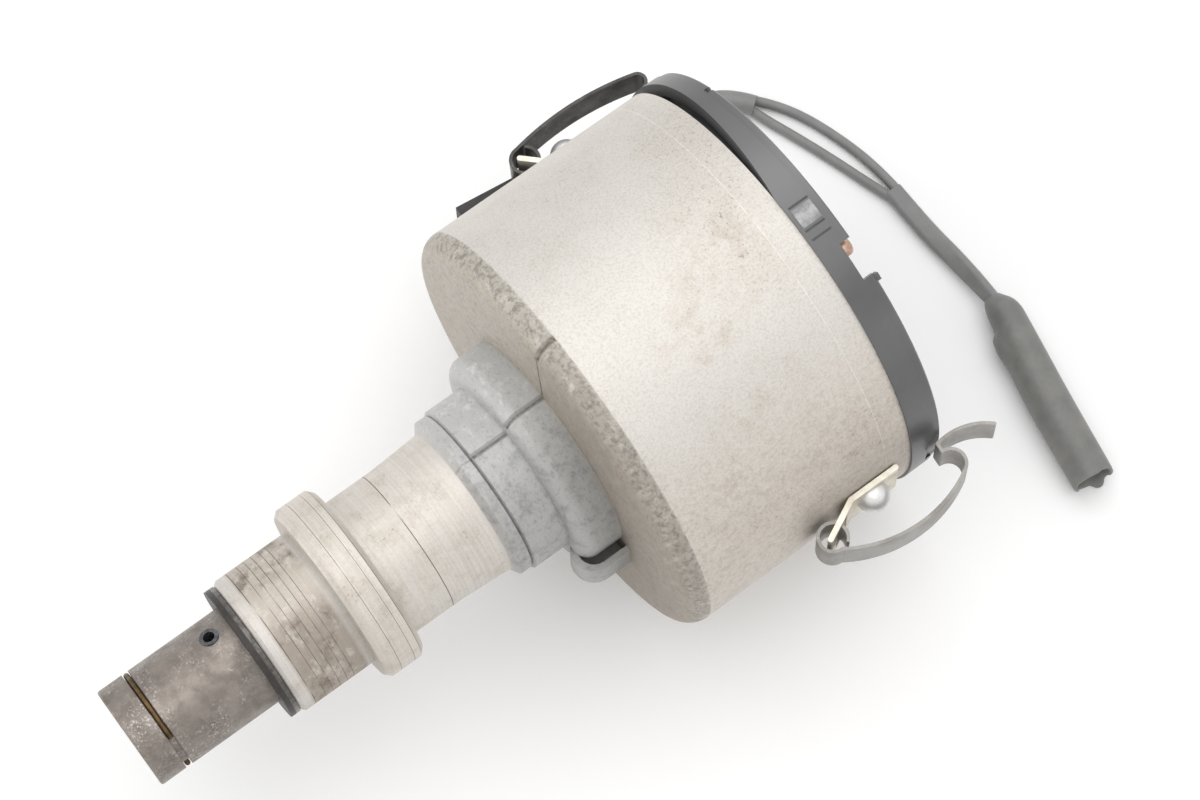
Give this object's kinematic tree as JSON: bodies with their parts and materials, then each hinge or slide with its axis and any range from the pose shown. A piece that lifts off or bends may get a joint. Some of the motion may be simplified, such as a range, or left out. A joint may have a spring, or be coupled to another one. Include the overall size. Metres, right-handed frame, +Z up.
{
  "type": "ignition distributor",
  "caption": "Cast ignition distributor lying on its side without cap or rotor: spinning shaft with centrifugal advance, inductive pickup with lead, dust cover and spring clips for the cap.",
  "frame": {"origin": "on the shaft's axis, in the plane where the flange seats on the engine", "axes": "+X along the shaft from the drive end towards the cap end, +Z up as the part lies on the table, +Y to the side of the lead's grommet"},
  "size_m": [0.1815, 0.1105, 0.083],
  "materials": {
    "cast_aluminium": "weathered casting, turned on the outside of the cup",
    "bronze": "sintered, oily",
    "shaft_steel": "ground",
    "coupling_steel": "dark, worn",
    "ring_wire": "golden brown, rusty at its end",
    "washer_steel": "dark, shiny",
    "fibre": "dark, oily",
    "plain_steel": "stamped and zinc plated",
    "spring_steel": "satin",
    "trigger_steel": "sintered",
    "bracket_steel": "zinc plated, gone cream and brown",
    "rivet_steel": "bright",
    "felt": "oiled",
    "ferrite": "matt ceramic magnet",
    "coil": "taped winding",
    "cover_plastic": "soft sheen",
    "copper": "copper pink",
    "grommet_rubber": "black",
    "lead_rubber": "dusty",
    "wire_insulation": "dusty",
    "terminal_brass": "plain"
  },
  "bodies": {
    "housing_body": {"housing": "cast_aluminium", "lower_bush": "bronze", "upper_bush": "bronze", "base_plate": "plain_steel", "base_plate_screws": "plain_steel", "pickup_magnet": "ferrite", "pickup_stator": "plain_steel", "stator_rivets": "plain_steel", "pickup_coil": "coil", "pickup_wires": "wire_insulation", "lead_grommet": "grommet_rubber", "lead_sheath": "lead_rubber", "lead_wire_upper": "wire_insulation", "lead_wire_lower": "wire_insulation", "lead_tail": "lead_rubber", "connector_boot": "lead_rubber", "connector_terminal": "terminal_brass", "clip_bracket_left": "bracket_steel", "clip_bracket_right": "bracket_steel", "clip_rivets": "rivet_steel"},
    "shaft_body": {"drive_shaft": "shaft_steel", "drive_coupling": "coupling_steel", "coupling_pin": "coupling_steel", "coupling_ring": "ring_wire", "thrust_shim": "washer_steel", "fibre_washer": "fibre", "upper_thrust_washer": "washer_steel", "weight_carrier": "plain_steel", "weight_pivots": "shaft_steel", "spring_posts": "shaft_steel", "advance_spring_a": "spring_steel", "advance_spring_b": "spring_steel", "spindle_circlip": "spring_steel"},
    "rotor_body": {"rotor_sleeve": "shaft_steel", "trigger_wheel": "trigger_steel", "trigger_key": "shaft_steel", "trigger_circlip": "spring_steel", "felt_wick": "felt"},
    "weight_a_body": {"advance_weight_a": "plain_steel"},
    "weight_b_body": {"advance_weight_b": "plain_steel"},
    "cover_body": {"dust_cover": "cover_plastic", "cover_rivet": "copper"},
    "clip_left_body": {"clip_left": "spring_steel"},
    "clip_right_body": {"clip_right": "spring_steel"}
  },
  "joints": [
    {"name": "shaft_spin", "type": "hinge", "parent": "housing_body", "child": "shaft_body", "pos_m": [0, 0, 0], "axis": [1, 0, 0], "continuous": true},
    {"name": "advance", "type": "hinge", "parent": "shaft_body", "child": "rotor_body", "pos_m": [0.08, 0, 0], "axis": [1, 0, 0], "range_deg": [0, 12], "stiffness_Nm_per_rad": 0.5, "deforming": ["advance_spring_a", "advance_spring_b"]},
    {"name": "weight_a_swing", "type": "hinge", "parent": "shaft_body", "child": "weight_a_body", "pos_m": [0.06, 0.022, 0], "axis": [1, 0, 0], "range_deg": [-12, 0]},
    {"name": "weight_b_swing", "type": "hinge", "parent": "shaft_body", "child": "weight_b_body", "pos_m": [0.06, -0.022, 0], "axis": [1, 0, 0], "range_deg": [-12, 0]},
    {"name": "cover_lift", "type": "slide", "parent": "housing_body", "child": "cover_body", "axis": [1, 0, 0], "range_m": [0, 0.025]},
    {"name": "clip_left_open", "type": "hinge", "parent": "housing_body", "child": "clip_left_body", "pos_m": [0.0746, 0.04462, -0.00273], "axis": [0, 0.061, 0.9981], "range_deg": [0, 100]},
    {"name": "clip_right_open", "type": "hinge", "parent": "housing_body", "child": "clip_right_body", "pos_m": [0.0746, -0.04462, 0.00273], "axis": [0, -0.061, -0.9981], "range_deg": [0, 100]}
  ],
  "couplings": [
    {"joint": "weight_a_swing", "follows": "advance", "ratio": -1},
    {"joint": "weight_b_swing", "follows": "advance", "ratio": -1}
  ]
}
